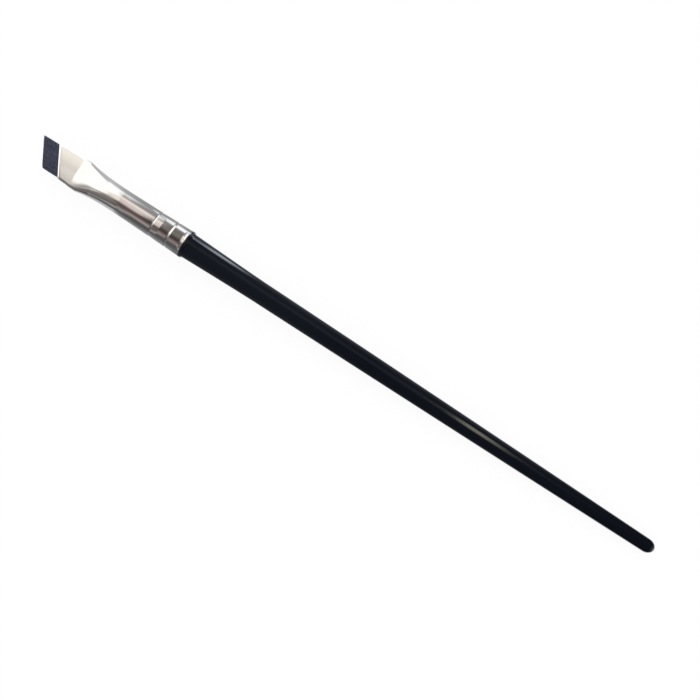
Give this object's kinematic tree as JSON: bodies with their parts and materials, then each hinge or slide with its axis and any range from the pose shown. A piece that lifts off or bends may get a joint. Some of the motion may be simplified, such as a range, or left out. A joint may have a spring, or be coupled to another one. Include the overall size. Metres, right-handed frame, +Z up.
{
  "type": "angled tint brush",
  "caption": "Slim cosmetic brush with a short flat tuft cut on a slant, a crimped metal ferrule pressed flat at the front, and a long tapered glossy black handle.",
  "frame": {"origin": "on the table, under the middle of the brush's bounding box", "axes": "+X from the tuft towards the tail, +Y towards the longest bristles, +Z up. The brush's own axis lies in the XZ plane and leans 0.8 degrees tail down, because the brush rests on the ferrule's rear lip and the end of its tail."},
  "size_m": [0.1752, 0.008, 0.0071],
  "materials": {
    "black_lacquer": "turned wood under glossy black lacquer with a faint blue cast",
    "plated_metal": "bright nickel plate, polished",
    "dark_filament": "fine synthetic filaments, dark slate, satin",
    "clear_resin": "cured amber resin",
    "wood_glue": "dried glue"
  },
  "bodies": {
    "root": {"handle": "black_lacquer", "ferrule": "plated_metal", "bristle_tuft": "dark_filament", "resin_plug": "clear_resin", "handle_glue": "wood_glue"}
  },
  "joints": []
}
